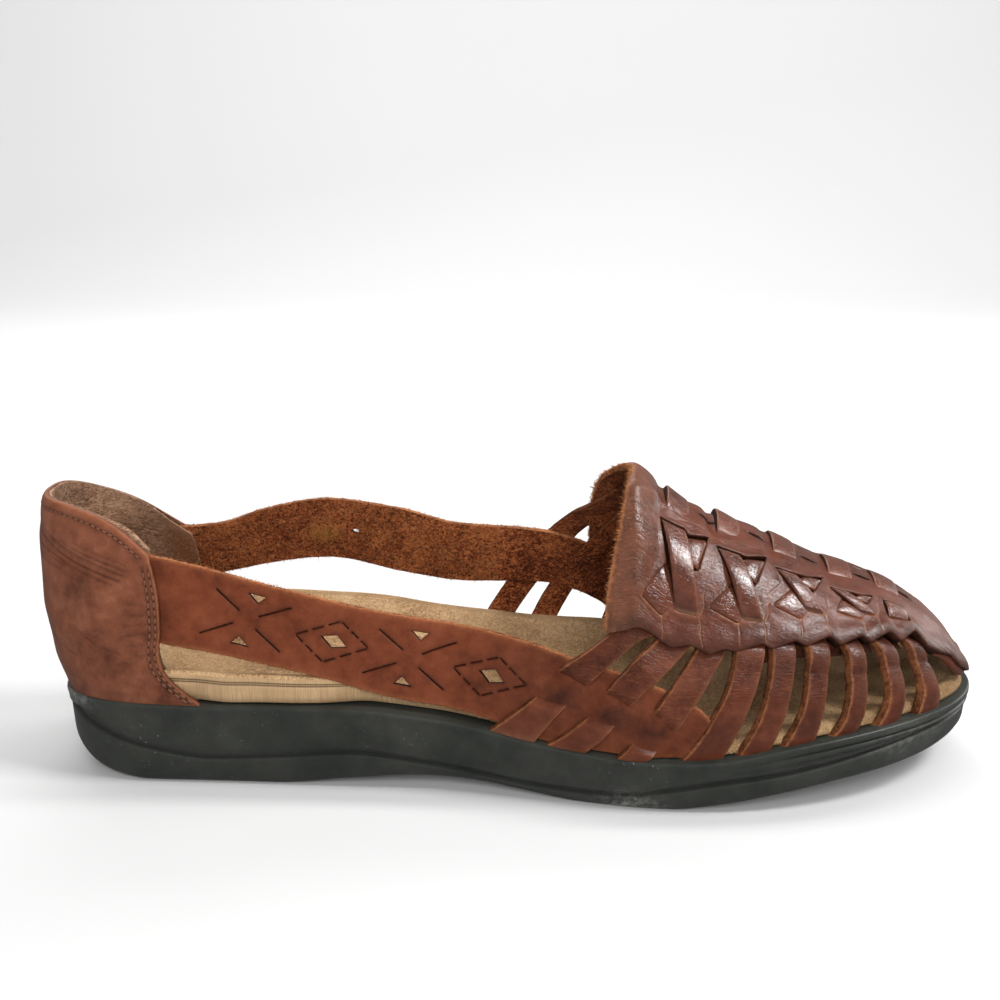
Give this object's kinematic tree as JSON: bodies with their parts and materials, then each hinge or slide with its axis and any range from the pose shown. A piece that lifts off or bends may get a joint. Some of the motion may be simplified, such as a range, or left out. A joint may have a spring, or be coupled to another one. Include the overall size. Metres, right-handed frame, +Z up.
{
  "type": "woven flat",
  "caption": "Huarache-type flat shoe for the right foot: woven leather vamp with open side strips, cut side straps, heel counter and a moulded rubber sole.",
  "frame": {"origin": "on the floor under the middle of the shoe's box", "axes": "+X from heel to toe, +Y to the inner side of the foot, +Z up"},
  "size_m": [0.2696, 0.0838, 0.0867],
  "materials": {
    "sole_rubber": "moulded, slightly glossy, scuffed",
    "footbed_suede": "matt suede",
    "woven_leather": "waxed, glossy on the weave",
    "counter_leather": "waxed, satin"
  },
  "bodies": {
    "root": {"outsole": "sole_rubber", "footbed": "footbed_suede", "upper": "woven_leather", "heel_counter": "counter_leather"}
  },
  "joints": []
}
